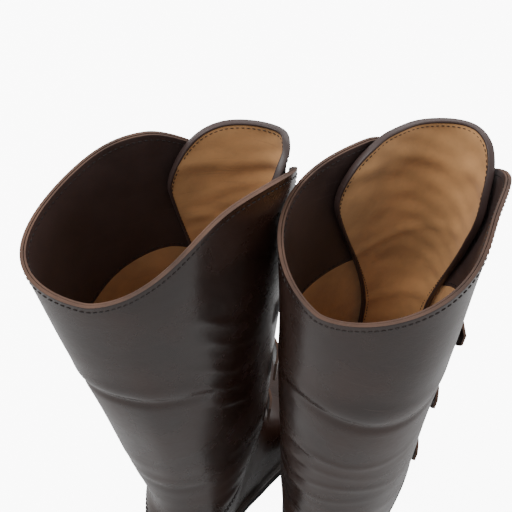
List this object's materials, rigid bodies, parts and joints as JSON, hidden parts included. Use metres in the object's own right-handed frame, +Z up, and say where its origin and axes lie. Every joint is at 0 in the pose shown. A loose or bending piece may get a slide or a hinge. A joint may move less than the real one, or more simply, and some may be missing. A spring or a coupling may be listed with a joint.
{
  "type": "riding boots",
  "caption": "Pair of tall dark leather riding boots with open fronts, tan-lined tongues, buckled straps and low heels.",
  "frame": {"origin": "middle of the pair on the floor, under its box", "axes": "+Z up, +Y toward the toes, +X toward the wearer's right"},
  "size_m": [0.2348, 0.3348, 0.4556],
  "materials": {
    "shaft_leather": "glossy smooth dark brown leather",
    "foot_leather": "glossy smooth dark brown leather",
    "tongue_leather": "glossy dark brown leather",
    "tan_lining": "soft matt tan leather",
    "strap_leather": "glossy dark brown leather",
    "sole_rubber": "matt black rubber",
    "heel_leather": "stacked stained leather",
    "welt_leather": "dark waxed leather",
    "insole_leather": "undyed leather",
    "sock_leather": "soft matt tan leather",
    "stiffener_board": "pressed leather board",
    "shank_steel": "rolled steel",
    "buckle_steel": "aged nickel-plated steel"
  },
  "bodies": {
    "left_boot": {"left_shaft": "shaft_leather", "left_vamp": "foot_leather", "left_counter_cover": "foot_leather", "left_toe_puff": "stiffener_board", "left_heel_counter": "stiffener_board", "left_lining": "tan_lining", "left_outsole": "sole_rubber", "left_welt": "welt_leather", "left_shank": "shank_steel", "left_insole": "insole_leather", "left_sock_lining": "sock_leather", "left_heel_stack": "heel_leather", "left_heel_tip": "sole_rubber", "left_top_strap": "strap_leather", "left_top_chape": "strap_leather", "left_top_buckle": "buckle_steel", "left_top_keeper": "strap_leather", "left_middle_strap": "strap_leather", "left_middle_chape": "strap_leather", "left_middle_buckle": "buckle_steel", "left_middle_keeper": "strap_leather", "left_low_strap": "strap_leather", "left_low_chape": "strap_leather", "left_low_buckle": "buckle_steel", "left_low_keeper": "strap_leather"},
    "left_tongue": {"left_tongue": "tongue_leather", "left_tongue_lining": "tan_lining"},
    "left_top_prong": {"left_top_prong": "buckle_steel"},
    "left_middle_prong": {"left_middle_prong": "buckle_steel"},
    "left_low_prong": {"left_low_prong": "buckle_steel"},
    "right_boot": {"right_shaft": "shaft_leather", "right_vamp": "foot_leather", "right_counter_cover": "foot_leather", "right_toe_puff": "stiffener_board", "right_heel_counter": "stiffener_board", "right_lining": "tan_lining", "right_outsole": "sole_rubber", "right_welt": "welt_leather", "right_shank": "shank_steel", "right_insole": "insole_leather", "right_sock_lining": "sock_leather", "right_heel_stack": "heel_leather", "right_heel_tip": "sole_rubber", "right_top_strap": "strap_leather", "right_top_chape": "strap_leather", "right_top_buckle": "buckle_steel", "right_top_keeper": "strap_leather", "right_middle_strap": "strap_leather", "right_middle_chape": "strap_leather", "right_middle_buckle": "buckle_steel", "right_middle_keeper": "strap_leather", "right_low_strap": "strap_leather", "right_low_chape": "strap_leather", "right_low_buckle": "buckle_steel", "right_low_keeper": "strap_leather"},
    "right_tongue": {"right_tongue": "tongue_leather", "right_tongue_lining": "tan_lining"},
    "right_top_prong": {"right_top_prong": "buckle_steel"},
    "right_middle_prong": {"right_middle_prong": "buckle_steel"},
    "right_low_prong": {"right_low_prong": "buckle_steel"}
  },
  "joints": [
    {"name": "left_tongue_fold", "type": "hinge", "parent": "left_boot", "child": "left_tongue", "pos_m": [-0.05102, -0.00958, 0.176], "axis": [0.9099, -0.4149, 0], "range_deg": [0, 8], "stiffness_Nm_per_rad": 4},
    {"name": "left_top_prong_hinge", "type": "hinge", "parent": "left_boot", "child": "left_top_prong", "pos_m": [-0.07954, -0.04356, 0.3164], "axis": [0.0615, -0.0758, 0.9952], "range_deg": [0, 18]},
    {"name": "left_middle_prong_hinge", "type": "hinge", "parent": "left_boot", "child": "left_middle_prong", "pos_m": [-0.07829, -0.03331, 0.25042], "axis": [0.057, -0.0849, 0.9948], "range_deg": [0, 18]},
    {"name": "left_low_prong_hinge", "type": "hinge", "parent": "left_boot", "child": "left_low_prong", "pos_m": [-0.07708, -0.02326, 0.18644], "axis": [0.0511, -0.0945, 0.9942], "range_deg": [0, 18]},
    {"name": "right_tongue_fold", "type": "hinge", "parent": "right_boot", "child": "right_tongue", "pos_m": [0.06498, 0.00692, 0.176], "axis": [1, 0, 0], "range_deg": [0, 8], "stiffness_Nm_per_rad": 4},
    {"name": "right_top_prong_hinge", "type": "hinge", "parent": "right_boot", "child": "right_top_prong", "pos_m": [0.09311, 0.01829, 0.31579], "axis": [-0.0131, -0.0466, -0.9988], "range_deg": [0, 18]},
    {"name": "right_middle_prong_hinge", "type": "hinge", "parent": "right_boot", "child": "right_middle_prong", "pos_m": [0.09226, 0.01464, 0.24977], "axis": [-0.0161, -0.0503, -0.9986], "range_deg": [0, 18]},
    {"name": "right_low_prong_hinge", "type": "hinge", "parent": "right_boot", "child": "right_low_prong", "pos_m": [0.0913, 0.01068, 0.18574], "axis": [-0.0209, -0.057, -0.9982], "range_deg": [0, 18]},
    {"name": "right_boot_lift", "type": "slide", "parent": "left_boot", "child": "right_boot", "axis": [0, 0, 1], "range_m": [0, 0.4]}
  ]
}
